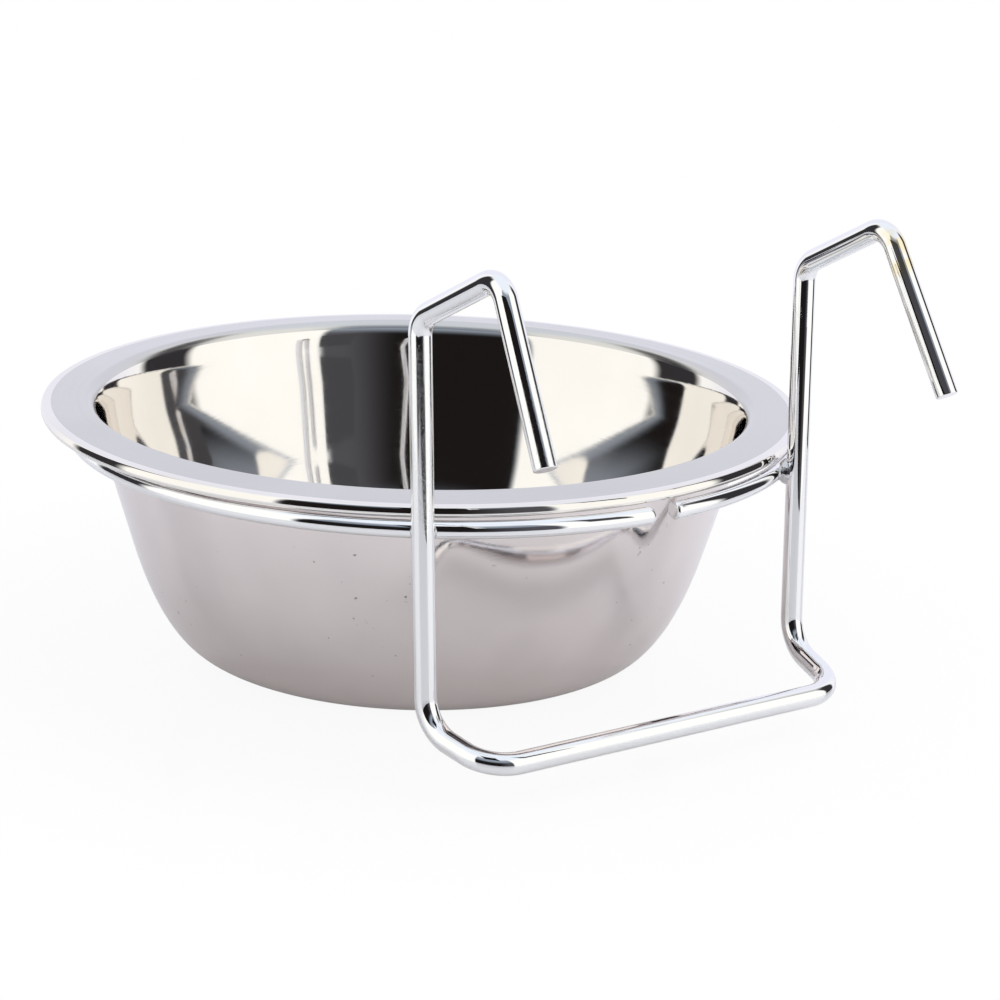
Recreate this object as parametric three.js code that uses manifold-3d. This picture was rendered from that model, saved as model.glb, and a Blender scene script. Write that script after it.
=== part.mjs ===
// Hanging bowl for a wire crate: a drawn steel bowl that drops into a welded wire holder.
// Millimetres, +Z up. The origin is the centre of the bowl's flat base, and the hooks are on the -Y side.
import * as THREE from 'three';
import { mergeVertices } from 'three/addons/utils/BufferGeometryUtils.js';
import Module from 'manifold-3d';

// Bowl
const rimDiameter = 160;
const bowlHeight = 53;
const neckDiameter = 138.3;
const baseDiameter = 90;
const sheetThickness = 0.6;
const edgeRollInsideRadius = 0.5;
const edgeRollSweep = 240;
const rimSlope = 4.5;
const neckDraft = 11.5;
const flareDrop = 5.5;
const flareReach = 1.5;
const shoulderLength = 4;
const wallDraft = 16.5;

// Belly: its share of the bowl's height, and how far its curve keeps to the wall and to the base
const bellyHeightShare = 0.45;
const bellyWallShare = 0.21;
const bellyBaseShare = 0.565;

// Support ring
const ringWireDiameter = 3.6;
const ringEndGap = 5;
const ringGapTurn = 2.5;

// Hanger frame
const hangerWireDiameter = 4.4;
const hangerSpan = 90;
const uprightLean = 2.2;
const topBendRise = 37.3;
const hookRise = 49.8;
const hookReach = 23.3;
const hookEndReach = 18.1;
const hookEndDrop = 30.3;
const hookSplay = 1.7;
const bottomBendDrop = 41.5;
const crossbarDrop = 44.9;
const crossbarReach = 17.5;
const crossbarInset = 2.7;
const hookBendRadius = 4.8;
const topBendRadius = 5.2;
const bottomBendRadius = 8;
const crossbarBendRadius = 8;

// Welds: half sizes along the ring, upwards, and from ring to upright
const weldHalfLength = 2.6;
const weldHalfHeight = 2.6;
const weldHalfDepth = 2.2;

// Clearances
const pieceGap = 0.3;
const rimClearance = 0.4;

// Facets
const turnSegments = 60;
const wireSides = 12;
const bendSteps = 6;
const ringSteps = 60;
const flareSteps = 5;
const shoulderSteps = 2;
const bellySteps = 8;
const rollSteps = 6;
const weldRoundSegments = 20;
const weldHeightSegments = 12;

const wasm = await Module();
wasm.setup();

const toRadians = THREE.MathUtils.degToRad;

// Places that several pieces share
const rimRadius = rimDiameter / 2;
const neckRadius = neckDiameter / 2;
const baseRadius = baseDiameter / 2;
const rollRadius = edgeRollInsideRadius + sheetThickness;
const ringWireRadius = ringWireDiameter / 2;
const hangerWireRadius = hangerWireDiameter / 2;
const ringHeight = bowlHeight - 2 * rollRadius - pieceGap - ringWireRadius;

// The uprights lean in towards the rim, and clear it at their top bend, so the bowl lifts straight out.
const uprightHalfSpan = hangerSpan / 2;
const uprightTopRadius = rimRadius + rimClearance + hangerWireRadius;
const uprightTopY = -Math.sqrt(uprightTopRadius ** 2 - uprightHalfSpan ** 2);
const topBendHeight = bowlHeight + topBendRise;
const uprightYAt = (z) => uprightTopY - Math.tan(toRadians(uprightLean)) * (topBendHeight - z);

// The ring is the circle that goes round the back of the neck and meets both uprights from inside.
const neckRadiusAtRing = neckRadius - Math.tan(toRadians(neckDraft)) * (bowlHeight - ringHeight);
const ringBackY = neckRadiusAtRing + pieceGap + ringWireRadius;
const weldSpacing = ringWireRadius + pieceGap + hangerWireRadius;
const uprightToBack = ringBackY - uprightYAt(ringHeight);
const ringRadius = (uprightHalfSpan ** 2 + uprightToBack ** 2 - weldSpacing ** 2)
  / (2 * (weldSpacing + uprightToBack));
const ringCentre = new THREE.Vector3(0, ringBackY - ringRadius, ringHeight);

// Points on a circle in the profile plane, from one angle in degrees to another.
function arcPoints(x, y, radius, from, to, steps) {
  const points = [];
  for (let i = 0; i <= steps; i += 1) {
    const angle = toRadians(from + (to - from) * i / steps);
    points.push(new THREE.Vector2(x + radius * Math.cos(angle), y + radius * Math.sin(angle)));
  }
  return points;
}

// A step down the wall in the profile plane, at a draft in degrees from upright.
function downWall(draft, length) {
  return new THREE.Vector2(-Math.sin(toRadians(draft)), -Math.cos(toRadians(draft))).multiplyScalar(length);
}

// A point of the rim's underside, which slopes up from the rolled edge towards the mouth.
function rimUnderside(radius) {
  const slope = toRadians(rimSlope);
  const edgeX = rimRadius - rollRadius + edgeRollInsideRadius * Math.sin(slope);
  const edgeY = bowlHeight - rollRadius + edgeRollInsideRadius * Math.cos(slope);
  return new THREE.Vector2(radius, edgeY + (edgeX - radius) * Math.tan(slope));
}

// The sheet's outside curves from the sloped rim down to the flat base: flare, shoulder and belly. The wall is
// straight between shoulder and belly.
function wallCurves() {
  const neck = rimUnderside(neckRadius);
  const flareTop = rimUnderside(neckRadius + flareReach);
  const flareEnd = neck.clone().add(downWall(neckDraft, flareDrop));
  const shoulder = flareEnd.clone().add(downWall(neckDraft, shoulderLength));
  const coneTop = shoulder.clone().add(downWall(wallDraft, shoulderLength));
  const bellyHeight = bellyHeightShare * bowlHeight;
  const coneLength = (coneTop.y - bellyHeight) / Math.cos(toRadians(wallDraft));
  const belly = coneTop.clone().add(downWall(wallDraft, coneLength));
  const bellyTurn = belly.clone().add(downWall(wallDraft, bellyWallShare * bellyHeight));
  const baseTurn = new THREE.Vector2(baseRadius + bellyBaseShare * (belly.x - baseRadius), 0);
  const baseEdge = new THREE.Vector2(baseRadius, 0);
  return [
    { curve: new THREE.QuadraticBezierCurve(flareTop, neck, flareEnd), steps: flareSteps },
    { curve: new THREE.QuadraticBezierCurve(flareEnd, shoulder, coneTop), steps: shoulderSteps },
    { curve: new THREE.CubicBezierCurve(belly, bellyTurn, baseTurn, baseEdge), steps: bellySteps },
  ];
}

// Points down the wall from the rim to the base, moved inwards by a depth.
function wallPoints(inset) {
  const points = [];
  for (const { curve, steps } of wallCurves()) {
    for (let i = 0; i <= steps; i += 1) {
      const tangent = curve.getTangent(i / steps);
      const inward = new THREE.Vector2(tangent.y, -tangent.x);
      const point = curve.getPoint(i / steps).addScaledVector(inward, inset);
      if (points.length === 0 || !point.equals(points.at(-1))) {
        points.push(point);
      }
    }
  }
  return points;
}

// The section of the bowl's sheet: up the outside, round the rolled edge, and back down the inside.
function bowlProfile() {
  const rimSide = 90 - rimSlope;
  const rollX = rimRadius - rollRadius;
  const rollY = bowlHeight - rollRadius;
  const rollEnd = rimSide - edgeRollSweep;
  return [
    new THREE.Vector2(0, 0),
    ...wallPoints(0).reverse(),
    ...arcPoints(rollX, rollY, edgeRollInsideRadius, rimSide, rollEnd, rollSteps),
    ...arcPoints(rollX, rollY, rollRadius, rollEnd, rimSide, rollSteps),
    ...wallPoints(sheetThickness),
    new THREE.Vector2(0, sheetThickness),
  ];
}

function bowlGeometry() {
  return new THREE.LatheGeometry(bowlProfile(), turnSegments).rotateX(Math.PI / 2);
}

// A wire's centreline, with a station only where the wire starts, bends or ends.
class WirePath extends THREE.Curve {
  constructor(stations) {
    super();
    this.stations = stations;
  }

  station(u) {
    return this.stations[Math.round(u * (this.stations.length - 1))];
  }

  getPointAt(u, target = new THREE.Vector3()) {
    return target.copy(this.station(u).point);
  }

  getTangentAt(u, target = new THREE.Vector3()) {
    return target.copy(this.station(u).tangent);
  }
}

// Stations round one bend, from the corner's neighbours, in equal steps.
function bendStations(before, corner, after, radius) {
  const into = corner.clone().sub(before).normalize();
  const out = after.clone().sub(corner).normalize();
  const turn = into.angleTo(out);
  const start = corner.clone().addScaledVector(into, -radius * Math.tan(turn / 2));
  const axis = into.clone().cross(out).normalize();
  const toCentre = axis.clone().cross(into);
  const centre = start.clone().addScaledVector(toCentre, radius);
  const stations = [];
  for (let i = 0; i <= bendSteps; i += 1) {
    const angle = turn * i / bendSteps;
    const point = start.clone().sub(centre).applyAxisAngle(axis, angle).add(centre);
    stations.push({ point, tangent: into.clone().applyAxisAngle(axis, angle) });
  }
  return stations;
}

// A path through corner points, with a bend of its own radius at each corner between the ends.
function bentPath(corners) {
  const first = corners[0].point;
  const last = corners.at(-1).point;
  const stations = [{ point: first, tangent: corners[1].point.clone().sub(first).normalize() }];
  for (let i = 1; i < corners.length - 1; i += 1) {
    const { point, radius } = corners[i];
    stations.push(...bendStations(corners[i - 1].point, point, corners[i + 1].point, radius));
  }
  stations.push({ point: last, tangent: last.clone().sub(corners.at(-2).point).normalize() });
  return new WirePath(stations);
}

function wireGeometry(path, radius) {
  const section = new THREE.Shape().absarc(0, 0, radius, 0, 2 * Math.PI);
  return new THREE.ExtrudeGeometry(section, {
    steps: path.stations.length - 1,
    curveSegments: wireSides / 2,
    extrudePath: path,
  });
}

// One side of the hanger, from the hook's cut end to the crossbar's corner.
function hangerSide(side) {
  const x = side * uprightHalfSpan;
  const hookTopY = uprightTopY - hookReach;
  const bottomHeight = bowlHeight - bottomBendDrop;
  const bottomY = uprightYAt(bottomHeight);
  const at = (px, py, pz, radius) => ({ point: new THREE.Vector3(px, py, pz), radius });
  return [
    at(x + side * hookSplay, hookTopY - hookEndReach, bowlHeight + hookRise - hookEndDrop, 0),
    at(x, hookTopY, bowlHeight + hookRise, hookBendRadius),
    at(x, uprightTopY, topBendHeight, topBendRadius),
    at(x, bottomY, bottomHeight, bottomBendRadius),
    at(x - side * crossbarInset, bottomY - crossbarReach, bowlHeight - crossbarDrop, crossbarBendRadius),
  ];
}

function hangerPath() {
  return bentPath([...hangerSide(-1), ...hangerSide(1).reverse()]);
}

// The open ring, from one cut end round the back of the bowl to the other.
function ringPath() {
  const gapTurn = 2 * Math.asin(ringEndGap / (2 * ringRadius));
  const from = toRadians(ringGapTurn) - Math.PI / 2 + gapTurn / 2;
  const sweep = 2 * Math.PI - gapTurn;
  const stations = [];
  for (let i = 0; i <= ringSteps; i += 1) {
    const angle = from + sweep * i / ringSteps;
    const outward = new THREE.Vector3(Math.cos(angle), Math.sin(angle), 0);
    const point = ringCentre.clone().addScaledVector(outward, ringRadius);
    stations.push({ point, tangent: new THREE.Vector3(-outward.y, outward.x, 0) });
  }
  return new WirePath(stations);
}

function toSolid(geometry) {
  const bare = geometry.clone();
  bare.deleteAttribute('normal');
  bare.deleteAttribute('uv');
  const merged = mergeVertices(bare);
  return new wasm.Manifold(new wasm.Mesh({
    numProp: 3,
    vertProperties: new Float32Array(merged.attributes.position.array),
    triVerts: new Uint32Array(merged.index.array),
  }));
}

function toGeometry(solid) {
  const { vertProperties, triVerts } = solid.getMesh();
  const geometry = new THREE.BufferGeometry();
  geometry.setAttribute('position', new THREE.BufferAttribute(vertProperties, 3));
  geometry.setIndex(new THREE.BufferAttribute(triVerts, 1));
  geometry.computeVertexNormals();
  return geometry;
}

// The collar of weld metal where an upright crosses the ring, hollowed to fit round both wires.
function weldGeometry(side) {
  const upright = new THREE.Vector3(side * uprightHalfSpan, uprightYAt(ringHeight), ringHeight);
  const outward = upright.sub(ringCentre).normalize();
  const alongRing = new THREE.Vector3(-outward.y, outward.x, 0);
  const up = new THREE.Vector3(0, 0, 1);
  const middle = ringCentre.clone().addScaledVector(outward, ringRadius + ringWireRadius + pieceGap / 2);
  const blob = new THREE.SphereGeometry(1, weldRoundSegments, weldHeightSegments)
    .scale(weldHalfLength, weldHalfHeight, weldHalfDepth)
    .applyMatrix4(new THREE.Matrix4().makeBasis(alongRing, up, outward).setPosition(middle));
  const ringRoom = toSolid(wireGeometry(ringPath(), ringWireRadius + pieceGap));
  const uprightRoom = toSolid(wireGeometry(hangerPath(), hangerWireRadius + pieceGap));
  return toGeometry(toSolid(blob).subtract(ringRoom).subtract(uprightRoom));
}

const brushedSteel = { color: 0xc9c6c4, roughness: 0.28, metalness: 1 };
const chrome = { color: 0xdedfe3, roughness: 0.08, metalness: 1 };
const weldedChrome = { color: 0xb9babd, roughness: 0.3, metalness: 1 };

function piece(name, geometry, finish) {
  const mesh = new THREE.Mesh(geometry, new THREE.MeshStandardMaterial(finish));
  mesh.name = name;
  return mesh;
}

const holder = new THREE.Group();
holder.add(
  piece('support_ring', wireGeometry(ringPath(), ringWireRadius), chrome),
  piece('hanger_frame', wireGeometry(hangerPath(), hangerWireRadius), chrome),
  piece('left_weld', weldGeometry(-1), weldedChrome),
  piece('right_weld', weldGeometry(1), weldedChrome),
);

const crateBowl = new THREE.Group();
crateBowl.add(holder, piece('bowl', bowlGeometry(), brushedSteel));

export default crateBowl;
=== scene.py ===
# Looks of a hanging crate bowl: a drawn steel bowl that sits in a chromed wire holder.
import math

import bpy
import numpy as np
from mathutils import Matrix, Vector


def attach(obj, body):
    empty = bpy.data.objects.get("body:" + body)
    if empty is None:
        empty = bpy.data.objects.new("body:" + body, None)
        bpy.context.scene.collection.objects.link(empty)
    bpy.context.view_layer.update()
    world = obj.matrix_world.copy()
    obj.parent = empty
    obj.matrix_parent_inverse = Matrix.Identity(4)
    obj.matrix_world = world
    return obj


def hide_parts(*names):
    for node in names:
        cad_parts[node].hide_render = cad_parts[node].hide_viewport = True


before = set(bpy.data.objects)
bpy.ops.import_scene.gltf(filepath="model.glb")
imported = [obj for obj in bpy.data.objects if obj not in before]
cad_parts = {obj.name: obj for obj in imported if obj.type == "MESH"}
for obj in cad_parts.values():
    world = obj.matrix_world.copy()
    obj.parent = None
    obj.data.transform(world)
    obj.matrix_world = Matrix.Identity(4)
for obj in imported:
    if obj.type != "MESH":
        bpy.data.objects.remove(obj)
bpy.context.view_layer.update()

# Sizes are in millimetres and degrees, and meshes are scaled to metres when they are made.
MM = 0.001
UP = Vector((0, 0, 1))

# Bowl
RIM_RADIUS = 80.0
BOWL_HEIGHT = 53.0
NECK_RADIUS = 69.15
BASE_RADIUS = 45.0
SHEET = 0.6
RIM_SLOPE = 4.5
NECK_DRAFT = 11.5
FLARE_DROP = 5.5
FLARE_REACH = 1.5
SHOULDER_LENGTH = 4.0
WALL_DRAFT = 16.5
BELLY_HEIGHT_SHARE = 0.45
BELLY_WALL_SHARE = 0.21
BELLY_BASE_SHARE = 0.565

# The bowl's rolled edge. Its outside has a tight corner over a flatter face, which spans these angles.
EDGE_ROLL_INSIDE = 0.5
EDGE_ROLL = EDGE_ROLL_INSIDE + SHEET
EDGE_ROLL_SWEEP = 240.0
EDGE_CORNER = 0.45
EDGE_FACE = 2.8
EDGE_FACE_SPAN = (25.0, 4.0)

# Support ring
RING_WIRE = 1.8
RING_END_GAP = 5.0
RING_GAP_TURN = 2.5
RING_BEVELS = (0.55, 1.2)

# Hanger frame
HANGER_WIRE = 2.2
HALF_SPAN = 45.0
UPRIGHT_LEAN = 2.2
TOP_BEND_RISE = 37.3
HOOK_RISE = 49.8
HOOK_REACH = 23.3
HOOK_END_REACH = 18.1
HOOK_END_DROP = 30.3
HOOK_SPLAY = 1.7
BOTTOM_BEND_DROP = 41.5
CROSSBAR_DROP = 44.9
CROSSBAR_REACH = 17.5
CROSSBAR_INSET = 2.7
HOOK_BEND = 4.8
TOP_BEND = 5.2
BOTTOM_BEND = 8.0
CROSSBAR_BEND = 8.0
HANGER_BEVELS = (0.3, 0.3)

# How far each corner of the hanger is bent from its even place, across and up: left side, then right
BENT_OFF = {
    "hook end": ((0.0, -0.8), (-0.2, 1.1)),
    "hook": ((0.1, -0.5), (-0.3, 0.7)),
    "top": ((-1.3, -0.3), (-0.3, 1.0)),
    "bottom": ((0.2, -0.5), (-0.7, 1.3)),
    "crossbar": ((0.4, 0.0), (0.2, 0.4)),
}

# Welds: half sizes along the ring, upwards, and from ring to upright
WELD_HALF = (2.6, 2.6, 2.2)
WELD_POINT = 1.3
WELD_LUMP = 0.06
WELD_LUMPS_AROUND = 3
WELD_LUMPS_ALONG = 5

# Clearances that the wire holder keeps
PIECE_GAP = 0.3
RIM_CLEARANCE = 0.4

# Mesh detail
TURN_SEGMENTS = 320
FLARE_STEPS = 24
BRUSHED_FLARE_STEPS = 12
SHOULDER_STEPS = 16
CONE_STEPS = 12
BELLY_STEPS = 48
RIM_STEPS = 24
POLISHED_RIM_STEPS = 4
ROLL_STEPS = 12
WIRE_SIDES = 40
BEND_STEPS = 24
RING_STEPS = 320
BEVEL_STEPS = 6
WELD_STEPS = 24

# Metal colours: darker and lighter parts of each finish
INSIDE_STEEL = ((0.865, 0.835, 0.805, 1.0), (0.905, 0.875, 0.845, 1.0))
RIM_STEEL = ((0.635, 0.625, 0.615, 1.0), (0.66, 0.65, 0.64, 1.0))
OUTSIDE_STEEL = ((0.77, 0.705, 0.693, 1.0), (0.84, 0.775, 0.763, 1.0))
SCUFF = (0.34, 0.31, 0.30, 1.0)
CHROME = (0.90, 0.90, 0.91, 1.0)
CHROME_STAIN = (0.90, 0.80, 0.58, 1.0)
WELD_DARK = (0.42, 0.41, 0.41, 1.0)

# Roughness of each finish, where it is smoothest and where it is roughest
POLISHED_ROUGHNESS = (0.03, 0.06)
BRUSHED_ROUGHNESS = (0.16, 0.24)
SATIN_ROUGHNESS = (0.06, 0.09)
CHROME_ROUGHNESS = (0.03, 0.09)
WELD_ROUGHNESS = (0.12, 0.3)

# Patterns in the metal. Most of a noise lies in NOISE_RANGE. Grains and patches are counted per metre, and
# lines give their count across and how often they change round the bowl.
NOISE_RANGE = (0.3, 0.7)
NOISE_DETAIL = 3.0
POLISHED_LINES = (4500.0, 1.5)
POLISHED_LINE_DEPTH = 0.001
POLISHED_CLOUDS = 35.0
SATIN_LINES = (900.0, 1.0)
SATIN_CLOUDS = 28.0
SATIN_GRAIN = 2500.0
SATIN_GRAIN_DETAIL = 2.0
SATIN_GRAIN_DEPTH = 0.003
DING_PATCHES = 40.0
DING_PATCH_RANGE = (0.5, 0.6)
DING_GRAIN = 650.0
DING_RANGE = (0.69, 0.75)
DING_DEPTH = 0.03
STAIN_DOWN = 6.0
STAIN_REACH = (3.0, 7.0)
STAIN_GRAIN = 320.0
STAIN_RANGE = (0.4, 0.6)
WORN_ACROSS = (-40.0, -35.0)
WORN_HEIGHT = (52.0, 86.0)
WORN_SOFT = 4.0
PIT_PATCHES = 90.0
PIT_PATCH_RANGE = (0.64, 0.72)
PIT_GRAIN = 4200.0
PIT_RANGE = (0.1, 0.45)
PIT_DEPTH = 0.008
WELD_RIPPLES = 900.0
WELD_RIPPLE_DEPTH = 0.15

# Camera, fitted to the photograph, which is taken to be 1000 x 1000 pixels
CAMERA_AZIMUTH = -34.85
CAMERA_ELEVATION = 16.55
CAMERA_ROLL = 1.81
CAMERA_DISTANCE = 636.0
CAMERA_SIDE_STEP = 17.2
CAMERA_RISE = -20.9
FOCAL_PIXELS = 2998.0
IMAGE_PIXELS = 1000.0
SENSOR_WIDTH = 36.0

# Studio: light by direction, in degrees round from the camera to its right, and up
WALL_LIGHT = (1.12, 1.12, 1.08, 1.0)
BACK_LIGHT = (0.91, 0.92, 1.02, 1.0)
BACK_FROM = (110.0, 150.0)
TOP_LIGHT = (0.92, 0.98, 1.06, 1.0)
TOP_FROM = (46.0, 62.0)
FRONT_DARK = (0.012, 0.01, 0.01, 1.0)
FRONT_GREY = (0.085, 0.085, 0.095, 1.0)
FRONT_GREY_FROM = (10.0, 34.0)
FRONT_AROUND = (-39.5, 40.5)
FRONT_SOFT = 2.0
FRONT_BOTTOM = (-30.0, -25.0)
FRONT_TOP = (23.0, 39.0)
FRONT_HAZE = (0.29, 0.335, 0.40, 1.0)
CORNER_DARK = (0.035, 0.033, 0.037, 1.0)
CORNERS_AROUND = ((-119.0, -95.0), (98.0, 124.0))
CORNER_SOFT = 3.0
CORNER_FADE = (38.0, 60.0)
BACKDROP = (1.0, 1.0, 1.0, 1.0)

# Floor, which the camera sees as nearly white close to the bowl, and as white further out
FLOOR_COLOUR = (0.94, 0.93, 0.94, 1.0)
FLOOR_ROUGHNESS = 0.2
FLOOR_IOR = 1.5
FLOOR_HALF = 270.0
FLOOR_WHITE_NEAR = 0.92
FLOOR_WHITE_FROM = (80.0, 150.0)
FLOOR_WHITE_IN_METAL = 0.12

# Dark cards that only mirrored rays see: how far from the hooks, how high, and how far past them each way
CARD_AWAY = 40.0
CARD_ELEVATION = 36.0
CARD_LEFT = 32.0
CARD_RIGHT = 12.0
CARD_BELOW = 15.0
LEFT_CARD = FRONT_DARK
RIGHT_CARD = (0.065, 0.065, 0.072, 1.0)

# Soft lamp that brightens the floor at the camera's right
LAMP_AROUND = 75.0
LAMP_OUT = 250.0
LAMP_UP = 250.0
LAMP_SIZE = 200.0
LAMP_WATTS = 0.17


def in_metres(*sizes):
    return [size * MM for size in sizes]


def make_object(name, points, faces, materials, face_materials=None):
    """A smooth mesh object from points in millimetres."""
    mesh = bpy.data.meshes.new(name)
    mesh.from_pydata((np.asarray(points) * MM).tolist(), [], faces)
    for material in materials:
        mesh.materials.append(material)
    if face_materials is not None:
        mesh.polygons.foreach_set("material_index", face_materials)
    mesh.shade_smooth()
    made = bpy.data.objects.new(name, mesh)
    bpy.context.scene.collection.objects.link(made)
    return made


def ring_faces(rings, sides):
    """Quads between successive rings of so many points each."""
    faces = []
    for ring in range(rings - 1):
        start = ring * sides
        for i in range(sides):
            j = (i + 1) % sides
            faces.append((start + i, start + j, start + sides + j, start + sides + i))
    return faces


def tip_faces(rings, sides, tip):
    """Triangles that close the first ring at a tip, and the last ring at the next tip, by turns."""
    last = (rings - 1) * sides
    faces = []
    for i in range(sides):
        j = (i + 1) % sides
        faces.append((tip, j, i))
        faces.append((tip + 1, last + i, last + j))
    return faces


# The bowl

def arc(x, y, radius, start, end, steps):
    """Points round a circle, from one angle to another."""
    angles = np.radians(np.linspace(start, end, steps + 1))
    return np.column_stack((x + radius * np.cos(angles), y + radius * np.sin(angles)))


def bezier(controls, steps):
    """Points along a Bezier curve, and their unit slopes."""
    t = np.linspace(0, 1, steps + 1)[:, None]
    level = [np.array(control) * np.ones_like(t) for control in controls]
    while len(level) > 2:
        level = [(1 - t) * start + t * end for start, end in zip(level, level[1:])]
    slope = level[1] - level[0]
    return level[0] + t * slope, slope / np.linalg.norm(slope, axis=1)[:, None]


def down_wall(draft):
    """The way down the wall, at a draft in degrees from upright."""
    return np.array((-math.sin(math.radians(draft)), -math.cos(math.radians(draft))))


def rim_underside(radius):
    """The rim's underside at a radius: it slopes up from the rolled edge towards the mouth."""
    slope = math.radians(RIM_SLOPE)
    edge_x = RIM_RADIUS - EDGE_ROLL + EDGE_ROLL_INSIDE * math.sin(slope)
    edge_y = BOWL_HEIGHT - EDGE_ROLL + EDGE_ROLL_INSIDE * math.cos(slope)
    return np.array((radius, edge_y + (edge_x - radius) * math.tan(slope)))


def wall_curve(inset):
    """The bowl's outside from rim to base, as radius and height, moved inwards by inset."""
    neck = rim_underside(NECK_RADIUS)
    flare_end = neck + FLARE_DROP * down_wall(NECK_DRAFT)
    shoulder = flare_end + SHOULDER_LENGTH * down_wall(NECK_DRAFT)
    cone_top = shoulder + SHOULDER_LENGTH * down_wall(WALL_DRAFT)
    belly_height = BELLY_HEIGHT_SHARE * BOWL_HEIGHT
    cone_length = (cone_top[1] - belly_height) / math.cos(math.radians(WALL_DRAFT))
    belly = cone_top + cone_length * down_wall(WALL_DRAFT)
    belly_turn = belly + BELLY_WALL_SHARE * belly_height * down_wall(WALL_DRAFT)
    base_turn = (BASE_RADIUS + BELLY_BASE_SHARE * (belly[0] - BASE_RADIUS), 0)
    stretches = (
        bezier((rim_underside(NECK_RADIUS + FLARE_REACH), neck, flare_end), FLARE_STEPS),
        bezier((flare_end, shoulder, cone_top), SHOULDER_STEPS),
        bezier((cone_top, belly), CONE_STEPS),
        bezier((belly, belly_turn, base_turn, (BASE_RADIUS, 0)), BELLY_STEPS),
    )
    points = []
    for index, (place, slope) in enumerate(stretches):
        inward = np.column_stack((slope[:, 1], -slope[:, 0]))
        points.append((place + inset * inward)[min(index, 1):])
    return np.vstack(points)


def edge_outside(start_angle, end_angle):
    """The rolled edge's outside from the rim down: a corner, a flatter face and a round underside."""
    high, low = EDGE_FACE_SPAN
    start, face_top, face_end = (math.radians(angle) for angle in (start_angle, high, low))
    corner_drop = EDGE_CORNER * (math.sin(start) - math.sin(face_top))
    face_drop = EDGE_FACE * (math.sin(face_top) - math.sin(face_end))
    under = (2 * EDGE_ROLL - corner_drop - face_drop) / (1 + math.sin(face_end))
    under_x = RIM_RADIUS - under
    under_y = BOWL_HEIGHT - 2 * EDGE_ROLL + under
    face_x = under_x - (EDGE_FACE - under) * math.cos(face_end)
    face_y = under_y - (EDGE_FACE - under) * math.sin(face_end)
    corner_x = face_x + (EDGE_FACE - EDGE_CORNER) * math.cos(face_top)
    corner_y = face_y + (EDGE_FACE - EDGE_CORNER) * math.sin(face_top)
    return np.vstack((
        arc(corner_x, corner_y, EDGE_CORNER, start_angle, high, ROLL_STEPS),
        arc(face_x, face_y, EDGE_FACE, high, low, ROLL_STEPS)[1:],
        arc(under_x, under_y, under, low, end_angle, ROLL_STEPS)[1:],
    ))


def bowl_stretches():
    """The sheet's section as named stretches, each starting where the one before it ends."""
    roll_x = RIM_RADIUS - EDGE_ROLL
    roll_y = BOWL_HEIGHT - EDGE_ROLL
    roll_start = 90 - RIM_SLOPE
    roll_end = roll_start - EDGE_ROLL_SWEEP
    inner_roll = arc(roll_x, roll_y, EDGE_ROLL_INSIDE, roll_start, roll_end, ROLL_STEPS)
    outer_roll = edge_outside(roll_start, roll_end)[::-1]
    under_wall, top_wall = wall_curve(0), wall_curve(SHEET)
    under_rim = np.linspace(under_wall[0], inner_roll[0], RIM_STEPS + 1)
    top_rim = np.linspace(outer_roll[-1], top_wall[0], RIM_STEPS + 1)
    brushed_rim = top_rim[POLISHED_RIM_STEPS:]
    brushed_flare = top_wall[1:BRUSHED_FLARE_STEPS + 1]
    return [
        ("outside", np.vstack((under_wall[::-1], under_rim[1:]))),
        ("edge", np.vstack((inner_roll, outer_roll, top_rim[1:POLISHED_RIM_STEPS + 1]))),
        ("rim", np.vstack((brushed_rim, brushed_flare))),
        ("inside", top_wall[BRUSHED_FLARE_STEPS:]),
    ]


def make_bowl(finishes):
    """The bowl as one closed shell. finishes maps each stretch of its section to a material."""
    stretches = bowl_stretches()
    profile = np.vstack([stretches[0][1]] + [points[1:] for _, points in stretches[1:]])
    angles = np.linspace(0, 2 * math.pi, TURN_SEGMENTS, endpoint=False)
    round_points = np.column_stack((np.cos(angles), np.sin(angles)))
    rings = [np.column_stack((radius * round_points, np.full(TURN_SEGMENTS, height)))
             for radius, height in profile]
    middles = [(0, 0, 0), (0, 0, SHEET)]
    points = np.vstack(rings + [middles])
    faces = ring_faces(len(rings), TURN_SEGMENTS)
    faces += tip_faces(len(rings), TURN_SEGMENTS, len(rings) * TURN_SEGMENTS)

    zones = []
    for index, (_, stretch) in enumerate(stretches):
        zones += [index] * (len(stretch) - 1) * TURN_SEGMENTS
    zones += [0, len(stretches) - 1] * TURN_SEGMENTS
    materials = [finishes[name] for name, _ in stretches]
    return make_object("bowl_shell", points, faces, materials, zones)


# The wire holder

def upright_top_y():
    """How far forward the uprights' top bends are, so that the bowl's rim passes them."""
    reach = RIM_RADIUS + RIM_CLEARANCE + HANGER_WIRE
    return -math.sqrt(reach ** 2 - HALF_SPAN ** 2)


def upright_y(height):
    """How far forward the leaning uprights are at a height."""
    lean = math.tan(math.radians(UPRIGHT_LEAN))
    return upright_top_y() - lean * (BOWL_HEIGHT + TOP_BEND_RISE - height)


def ring_circle():
    """The ring's centre and radius: round the back of the neck, and against both uprights from inside."""
    height = BOWL_HEIGHT - 2 * EDGE_ROLL - PIECE_GAP - RING_WIRE
    neck_radius = NECK_RADIUS - math.tan(math.radians(NECK_DRAFT)) * (BOWL_HEIGHT - height)
    back_y = neck_radius + PIECE_GAP + RING_WIRE
    spacing = RING_WIRE + PIECE_GAP + HANGER_WIRE
    reach = back_y - upright_y(height)
    radius = (HALF_SPAN ** 2 + reach ** 2 - spacing ** 2) / (2 * (spacing + reach))
    return np.array((0, back_y - radius, height)), radius


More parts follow.
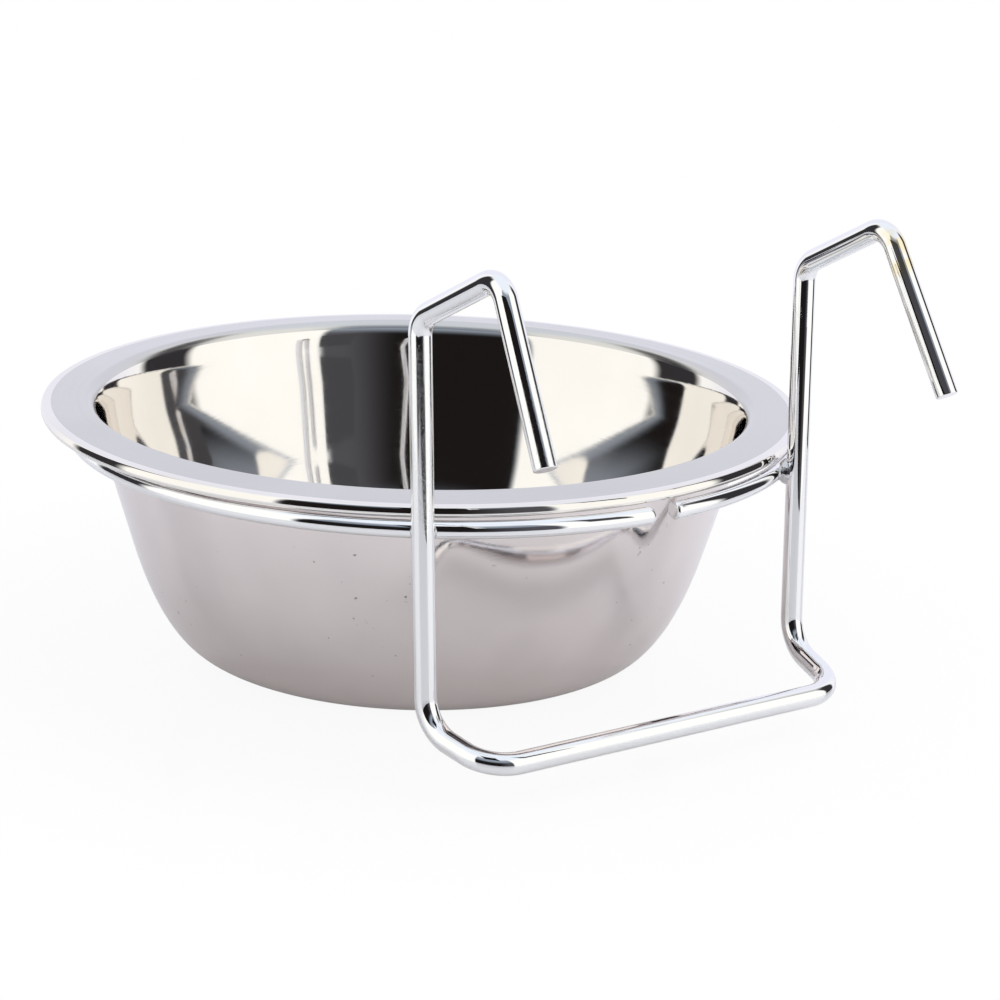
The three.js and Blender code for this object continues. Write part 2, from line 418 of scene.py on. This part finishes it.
def bend_stations(before, corner, after, radius):
    """Points and directions round one bend of a wire."""
    into = (corner - before).normalized()
    out = (after - corner).normalized()
    turn = into.angle(out)
    axis = into.cross(out).normalized()
    start = corner - into * radius * math.tan(turn / 2)
    centre = start + axis.cross(into) * radius
    stations = []
    for step in range(BEND_STEPS + 1):
        rotation = Matrix.Rotation(turn * step / BEND_STEPS, 3, axis)
        stations.append((centre + rotation @ (start - centre), rotation @ into))
    return stations


def hanger_corners(side):
    """One side of the hanger, from the hook's cut end to the crossbar's corner: places and bend radii."""
    x = side * HALF_SPAN
    top_y = upright_top_y()
    hook_y = top_y - HOOK_REACH
    hook_z = BOWL_HEIGHT + HOOK_RISE
    hook_end = (x + side * HOOK_SPLAY, hook_y - HOOK_END_REACH, hook_z - HOOK_END_DROP)
    bottom_z = BOWL_HEIGHT - BOTTOM_BEND_DROP
    bottom_y = upright_y(bottom_z)
    crossbar = (x - side * CROSSBAR_INSET, bottom_y - CROSSBAR_REACH, BOWL_HEIGHT - CROSSBAR_DROP)
    even = {
        "hook end": (hook_end, 0),
        "hook": ((x, hook_y, hook_z), HOOK_BEND),
        "top": ((x, top_y, BOWL_HEIGHT + TOP_BEND_RISE), TOP_BEND),
        "bottom": ((x, bottom_y, bottom_z), BOTTOM_BEND),
        "crossbar": (crossbar, CROSSBAR_BEND),
    }
    corners = {}
    for name, (place, radius) in even.items():
        across, up = BENT_OFF[name][side > 0]
        corners[name] = (Vector(place) + Vector((across, 0, up)), radius)
    return corners


def hanger_places(side, *names):
    """The places of some of the corners on one side of the hanger."""
    corners = hanger_corners(side)
    return [corners[name][0] for name in names]


def hanger_stations():
    """Points and directions along the hanger, from the left hook's cut end to the right one's."""
    left = list(hanger_corners(-1).values())
    right = list(hanger_corners(1).values())
    corners = left + right[::-1]
    places = [place for place, _ in corners]
    stations = [(places[0], (places[1] - places[0]).normalized())]
    for i in range(1, len(corners) - 1):
        stations += bend_stations(places[i - 1], places[i], places[i + 1], corners[i][1])
    stations.append((places[-1], (places[-1] - places[-2]).normalized()))
    return stations


def ring_stations():
    """Points and directions round the ring, from one side of its gap to the other."""
    centre, radius = ring_circle()
    gap = 2 * math.asin(RING_END_GAP / (2 * radius))
    start = math.radians(RING_GAP_TURN) - math.pi / 2 + gap / 2
    stations = []
    for step in range(RING_STEPS + 1):
        angle = start + (2 * math.pi - gap) * step / RING_STEPS
        outward = Vector((math.cos(angle), math.sin(angle), 0))
        stations.append((Vector(centre) + outward * radius, Vector((-outward.y, outward.x, 0))))
    return stations


def rounded_end(cut, way, inward, radius, bevel):
    """Rings from a wire's cut face in to its full radius, round a quarter circle."""
    rings = []
    for step in range(BEVEL_STEPS + 1):
        angle = math.radians(90 * step / BEVEL_STEPS)
        along = bevel * (1 - math.cos(angle))
        rings.append((cut + inward * along, way, radius - bevel * (1 - math.sin(angle))))
    return rings


def bevelled(stations, radius, bevels):
    """Stations with a radius each, with both cut ends rounded off by their bevels."""
    (first, first_way), (last, last_way) = stations[0], stations[-1]
    start = rounded_end(first, first_way, first_way, radius, bevels[0])
    between = [(place, way, radius) for place, way in stations[1:-1]]
    end = rounded_end(last, last_way, -last_way, radius, bevels[1])
    return start + between + end[::-1]


def make_wire(name, stations, radius, bevels, material):
    """A round wire swept along its stations, closed at both cut ends."""
    rings = bevelled(stations, radius, bevels)
    side = rings[0][1].orthogonal().normalized()
    points = []
    for index, (place, way, ring_radius) in enumerate(rings):
        if index:
            side = rings[index - 1][1].rotation_difference(way) @ side
        side = (side - way * side.dot(way)).normalized()
        other = way.cross(side)
        for i in range(WIRE_SIDES):
            angle = 2 * math.pi * i / WIRE_SIDES
            points.append(place + (side * math.cos(angle) + other * math.sin(angle)) * ring_radius)
    faces = ring_faces(len(rings), WIRE_SIDES)
    last = (len(rings) - 1) * WIRE_SIDES
    faces.append(tuple(reversed(range(WIRE_SIDES))))
    faces.append(tuple(range(last, last + WIRE_SIDES)))
    made = make_object(name, points, faces, [material])
    for cap in made.data.polygons[-2:]:
        cap.use_smooth = False
    return made


def make_weld(name, side, material):
    """A bead of weld metal, pointed along the ring, where an upright crosses it."""
    centre, radius = ring_circle()
    top, bottom = hanger_places(side, "top", "bottom")
    upright = np.array(bottom.lerp(top, (centre[2] - bottom.z) / (top.z - bottom.z)))
    outward = (upright - centre) / np.linalg.norm(upright - centre)
    along = np.array((-outward[1], outward[0], 0))
    middle = centre + (radius + RING_WIRE + PIECE_GAP / 2) * outward
    half_length, half_height, half_depth = WELD_HALF
    rows = np.radians(np.linspace(-90, 90, WELD_STEPS + 1))[1:-1]
    turns = np.linspace(0, 2 * math.pi, WIRE_SIDES, endpoint=False)
    points = []
    for row in rows:
        thick = math.cos(row) ** WELD_POINT
        for turn in turns:
            lump = 1 + WELD_LUMP * math.sin(WELD_LUMPS_AROUND * turn + WELD_LUMPS_ALONG * row + side)
            across = half_height * math.cos(turn) * np.array(UP) + half_depth * math.sin(turn) * outward
            points.append(middle + along * half_length * math.sin(row) + lump * thick * across)
    faces = ring_faces(len(rows), WIRE_SIDES) + tip_faces(len(rows), WIRE_SIDES, len(points))
    points += [middle - along * half_length, middle + along * half_length]
    return make_object(name, points, faces, [material])


# Materials

class Graph:
    """Short ways to add and join shader nodes."""

    def __init__(self, tree):
        self.tree = tree

    def add(self, kind, inputs=(), **settings):
        node = self.tree.nodes.new("ShaderNode" + kind)
        for name, value in settings.items():
            setattr(node, name, value)
        for key, value in dict(inputs).items():
            if isinstance(value, bpy.types.NodeSocket):
                self.tree.links.new(value, node.inputs[key])
            else:
                node.inputs[key].default_value = value
        return node

    def join(self, output, socket):
        self.tree.links.new(output, socket)

    def math(self, operation, first, second=0.0):
        return self.add("Math", {0: first, 1: second}, operation=operation).outputs[0]

    def times(self, first, second):
        return self.math("MULTIPLY", first, second)

    def vector(self, operation, inputs, output=0):
        return self.add("VectorMath", inputs, operation=operation).outputs[output]

    def place(self):
        return self.add("TexCoord").outputs["Object"]

    def mix(self, share, first, second):
        return self.add("Mix", {0: share, 6: first, 7: second}, data_type="RGBA").outputs[2]

    def ramp(self, value, low, high, start=0.0, end=1.0):
        """A smooth change from start to end as value goes from low to high."""
        inputs = {"Value": value, "From Min": low, "From Max": high, "To Min": start, "To Max": end}
        return self.add("MapRange", inputs, interpolation_type="SMOOTHSTEP").outputs[0]

    def fall(self, value, low, high):
        """A smooth change from 1 to 0 as value goes from low to high."""
        return self.ramp(value, low, high, 1.0, 0.0)

    def band(self, value, low, high, soft):
        """1 between low and high, falling to 0 over the soft edges."""
        rise = self.ramp(value, low - soft, low + soft)
        return self.times(rise, self.fall(value, high - soft, high + soft))


def new_metal(name):
    """A metal material: its nodes, and its shader."""
    material = bpy.data.materials.new(name)
    material.use_nodes = True
    shader = material.node_tree.nodes["Principled BSDF"]
    shader.inputs["Metallic"].default_value = 1.0
    return material, Graph(material.node_tree), shader


def bare_material(name):
    """A material without a shader, and its nodes."""
    material = bpy.data.materials.new(name)
    material.use_nodes = True
    material.node_tree.nodes.clear()
    return material, Graph(material.node_tree)


def turned_lines(g, across, along):
    """Noise drawn out round the bowl's axis: its count across per metre, and how often it changes along."""
    place = g.place()
    flat = g.vector("MULTIPLY", {0: place, 1: (1.0, 1.0, 0.0)})
    radius = g.vector("LENGTH", {0: flat}, "Value")
    round_way = g.vector("NORMALIZE", {0: flat})
    turned = g.vector("SCALE", {0: round_way, "Scale": along})
    height = g.add("SeparateXYZ", {0: place}).outputs[2]
    section = g.times(g.math("ADD", radius, height), across)
    lifted = g.add("CombineXYZ", {2: section}).outputs[0]
    drawn = g.vector("ADD", {0: turned, 1: lifted})
    return g.add("TexNoise", {"Vector": drawn, "Scale": 1.0, "Detail": NOISE_DETAIL}).outputs[0]


def blotches(g, scale, detail=NOISE_DETAIL):
    """Noise that is the same in every direction."""
    return g.add("TexNoise", {"Vector": g.place(), "Scale": scale, "Detail": detail}).outputs[0]


def bumped(g, height, depth, below=None):
    """A normal for heights from 0 to 1 that are depth millimetres apart."""
    inputs = {"Height": height, "Distance": depth * MM, "Strength": 1.0}
    if below is not None:
        inputs["Normal"] = below
    return g.add("Bump", inputs).outputs[0]


def turned_steel(name, dark, light, roughness):
    """Steel that was polished while it turned: fine rings, slightly uneven in colour and gloss."""
    material, g, shader = new_metal(name)
    lines = turned_lines(g, *POLISHED_LINES)
    cloud = g.ramp(blotches(g, POLISHED_CLOUDS), *NOISE_RANGE)
    g.join(g.mix(cloud, dark, light), shader.inputs["Base Color"])
    g.join(g.ramp(lines, *NOISE_RANGE, *roughness), shader.inputs["Roughness"])
    g.join(bumped(g, lines, POLISHED_LINE_DEPTH), shader.inputs["Normal"])
    return material


def satin_steel(name, dark, light, roughness):
    """The bowl's outside: dull, with faint turning rings, clouds and patches of small dark dings."""
    material, g, shader = new_metal(name)
    lines = turned_lines(g, *SATIN_LINES)
    cloud = g.ramp(blotches(g, SATIN_CLOUDS), *NOISE_RANGE)
    grain = blotches(g, SATIN_GRAIN, SATIN_GRAIN_DETAIL)
    scuffed = g.ramp(blotches(g, DING_PATCHES), *DING_PATCH_RANGE)
    ding = g.times(scuffed, g.ramp(blotches(g, DING_GRAIN), *DING_RANGE))
    g.join(g.mix(ding, g.mix(cloud, dark, light), SCUFF), shader.inputs["Base Color"])
    g.join(g.ramp(lines, *NOISE_RANGE, *roughness), shader.inputs["Roughness"])
    dented = bumped(g, ding, -DING_DEPTH)
    g.join(bumped(g, grain, SATIN_GRAIN_DEPTH, dented), shader.inputs["Normal"])
    return material


def wire_chrome(name):
    """Bright plating with fine pits in patches, and a faint yellow stain below the right hook's bend."""
    material, g, shader = new_metal(name)
    place = g.place()
    hook_end, hook = hanger_places(1, "hook end", "hook")
    stain_place = (hook + STAIN_DOWN * (hook_end - hook).normalized()) * MM
    off = g.vector("DISTANCE", {0: place, 1: stain_place}, "Value")
    near = g.fall(off, *in_metres(*STAIN_REACH))
    stain = g.times(near, g.ramp(blotches(g, STAIN_GRAIN), *STAIN_RANGE))
    g.join(g.mix(stain, CHROME, CHROME_STAIN), shader.inputs["Base Color"])

    across, _, height = g.add("SeparateXYZ", {0: place}).outputs
    worn_side = g.fall(across, *in_metres(*WORN_ACROSS))
    worn = g.times(worn_side, g.band(height, *in_metres(*WORN_HEIGHT, WORN_SOFT)))
    patch = g.math("MAXIMUM", worn, g.ramp(blotches(g, PIT_PATCHES), *PIT_PATCH_RANGE))
    cells = g.add("TexVoronoi", {"Vector": place, "Scale": PIT_GRAIN}).outputs["Distance"]
    pits = g.times(patch, g.fall(cells, *PIT_RANGE))
    g.join(g.ramp(patch, 0.0, 1.0, *CHROME_ROUGHNESS), shader.inputs["Roughness"])
    g.join(bumped(g, pits, -PIT_DEPTH), shader.inputs["Normal"])
    return material


def weld_chrome(name):
    """Plated weld metal: duller and rippled."""
    material, g, shader = new_metal(name)
    ripple = blotches(g, WELD_RIPPLES)
    g.join(g.mix(ripple, WELD_DARK, CHROME), shader.inputs["Base Color"])
    g.join(g.ramp(ripple, *NOISE_RANGE, *WELD_ROUGHNESS), shader.inputs["Roughness"])
    g.join(bumped(g, ripple, WELD_RIPPLE_DEPTH), shader.inputs["Normal"])
    return material


# Camera, studio and floor

def level_way(turn):
    """A level direction from the bowl, so many degrees round from the camera to its right."""
    azimuth = math.radians(CAMERA_AZIMUTH + turn)
    return Vector((math.sin(azimuth), -math.cos(azimuth), 0))


def raised_way(turn, elevation):
    """A direction from the bowl as level_way gives it, and so many degrees up."""
    rise = math.radians(elevation)
    return math.cos(rise) * level_way(turn) + math.sin(rise) * UP


def make_camera():
    roll = math.radians(CAMERA_ROLL)
    back = raised_way(0, CAMERA_ELEVATION)
    right = level_way(90)
    up = right.cross(-back)
    camera_x = right * math.cos(roll) + up * math.sin(roll)
    camera_y = up * math.cos(roll) - right * math.sin(roll)
    rim_centre = BOWL_HEIGHT * UP
    place = rim_centre + back * CAMERA_DISTANCE + right * CAMERA_SIDE_STEP + up * CAMERA_RISE
    data = bpy.data.cameras.new("camera")
    data.sensor_width = SENSOR_WIDTH
    data.lens = FOCAL_PIXELS / IMAGE_PIXELS * SENSOR_WIDTH
    camera = bpy.data.objects.new("camera", data)
    turn = Matrix((camera_x, camera_y, back)).transposed()
    camera.matrix_world = Matrix.Translation(place * MM) @ turn.to_4x4()
    bpy.context.scene.collection.objects.link(camera)
    bpy.context.scene.camera = camera


def make_studio():
    """A light tent, open and dark on the camera's side, that only reflections and lighting see."""
    world = bpy.data.worlds.new("studio")
    world.use_nodes = True
    world.node_tree.nodes.clear()
    bpy.context.scene.world = world
    g = Graph(world.node_tree)
    way = g.add("TexCoord").outputs["Generated"]
    turned = g.add("VectorRotate", {"Vector": way, "Angle": -math.radians(CAMERA_AZIMUTH)},
                   rotation_type="Z_AXIS").outputs[0]
    side, away, up = g.add("SeparateXYZ", {0: turned}).outputs
    around = g.math("DEGREES", g.math("ARCTAN2", side, g.times(away, -1.0)))
    height = g.math("DEGREES", g.math("ARCSINE", up))

    behind = g.ramp(g.math("ABSOLUTE", around), *BACK_FROM)
    colour = g.mix(behind, WALL_LIGHT, BACK_LIGHT)
    low = g.fall(height, *CORNER_FADE)
    for corner in CORNERS_AROUND:
        shade = g.times(g.band(around, *corner, CORNER_SOFT), low)
        colour = g.mix(shade, colour, CORNER_DARK)
    colour = g.mix(g.ramp(height, *TOP_FROM), colour, TOP_LIGHT)

    front = g.times(g.band(around, *FRONT_AROUND, FRONT_SOFT), g.ramp(height, *FRONT_BOTTOM))
    front = g.times(front, g.fall(height, *TOP_FROM))
    colour = g.mix(front, colour, FRONT_HAZE)
    front = g.times(front, g.fall(height, *FRONT_TOP))
    dark = g.mix(g.ramp(around, *FRONT_GREY_FROM), FRONT_DARK, FRONT_GREY)
    colour = g.mix(front, colour, dark)

    seen = g.add("LightPath").outputs["Is Camera Ray"]
    sky = g.add("Background", {"Color": g.mix(seen, colour, BACKDROP), "Strength": 1.0})
    g.add("OutputWorld", {"Surface": sky.outputs[0]})


def make_lamp():
    """A soft lamp that faces the bowl. Only the floor takes its light."""
    place = LAMP_OUT * level_way(LAMP_AROUND) + LAMP_UP * UP
    turn = place.to_track_quat("Z", "Y").to_matrix()
    data = bpy.data.lights.new("lamp", "AREA")
    data.size = LAMP_SIZE * MM
    data.energy = LAMP_WATTS
    lamp = bpy.data.objects.new("lamp", data)
    lamp.matrix_world = Matrix.Translation(place * MM) @ turn.to_4x4()
    lamp.visible_glossy = False
    bpy.context.scene.collection.objects.link(lamp)


def make_cards():
    """A dark card along each hook's end, which gives the chrome there its dark stripe."""
    off = CARD_AWAY * raised_way(0, CARD_ELEVATION)
    right = level_way(90)
    for name, side, colour in (("left_card", -1, LEFT_CARD), ("right_card", 1, RIGHT_CARD)):
        hook_end, hook = hanger_places(side, "hook end", "hook")
        low = hook_end + off - CARD_BELOW * (hook - hook_end).normalized()
        high = hook + off
        points = (low - CARD_LEFT * right, low + CARD_RIGHT * right,
                  high + CARD_RIGHT * right, high - CARD_LEFT * right)
        material, g = bare_material(name)
        shown = g.add("Emission", {"Color": colour, "Strength": 1.0})
        g.add("OutputMaterial", {"Surface": shown.outputs[0]})
        card = make_object(name, points, [(0, 1, 2, 3)], [material])
        card.visible_camera = False
        card.visible_diffuse = False
        card.visible_shadow = False


def make_floor():
    """A pale floor that keeps the part's shadow and shows some of its white in the metal."""
    points = [(-FLOOR_HALF, -FLOOR_HALF, 0), (FLOOR_HALF, -FLOOR_HALF, 0),
              (FLOOR_HALF, FLOOR_HALF, 0), (-FLOOR_HALF, FLOOR_HALF, 0)]
    material, g = bare_material("floor")
    lit = g.add("BsdfPrincipled",
                {"Base Color": FLOOR_COLOUR, "Roughness": FLOOR_ROUGHNESS, "IOR": FLOOR_IOR})
    glow = g.add("Emission", {"Color": BACKDROP, "Strength": 1.0})
    far = g.vector("LENGTH", {0: g.add("NewGeometry").outputs["Position"]}, "Value")
    white = g.ramp(far, *in_metres(*FLOOR_WHITE_FROM), FLOOR_WHITE_NEAR, 1.0)
    rays = g.add("LightPath").outputs
    to_camera = g.times(rays["Is Camera Ray"], white)
    to_metal = g.times(rays["Is Glossy Ray"], FLOOR_WHITE_IN_METAL)
    share = g.math("MAXIMUM", to_camera, to_metal)
    surface = g.add("MixShader", {0: share, 1: lit.outputs[0], 2: glow.outputs[0]})
    g.add("OutputMaterial", {"Surface": surface.outputs[0]})
    floor = make_object("floor", points, [(0, 1, 2, 3)], [material])


make_camera()
polished = turned_steel("polished_steel", *INSIDE_STEEL, POLISHED_ROUGHNESS)
brushed = turned_steel("brushed_rim", *RIM_STEEL, BRUSHED_ROUGHNESS)
satin = satin_steel("satin_steel", *OUTSIDE_STEEL, SATIN_ROUGHNESS)
chrome = wire_chrome("wire_chrome")
welded = weld_chrome("weld_chrome")

pieces = (
    (make_bowl({"outside": satin, "edge": polished, "rim": brushed, "inside": polished}),
     "bowl", "bowl", "bowl_steel"),
    (make_wire("support_ring_wire", ring_stations(), RING_WIRE, RING_BEVELS, chrome),
     "holder", "support_ring", "wire_chrome"),
    (make_wire("hanger_wire", hanger_stations(), HANGER_WIRE, HANGER_BEVELS, chrome),
     "holder", "hanger_frame", "wire_chrome"),
    (make_weld("left_weld_bead", -1, welded), "holder", "left_weld", "wire_chrome"),
    (make_weld("right_weld_bead", 1, welded), "holder", "right_weld", "wire_chrome"),
)
for piece, body, node, slot in pieces:
    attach(piece, body)
    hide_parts(node)

make_studio()
make_lamp()
make_cards()
make_floor()
bpy.context.scene.view_settings.view_transform = "Standard"
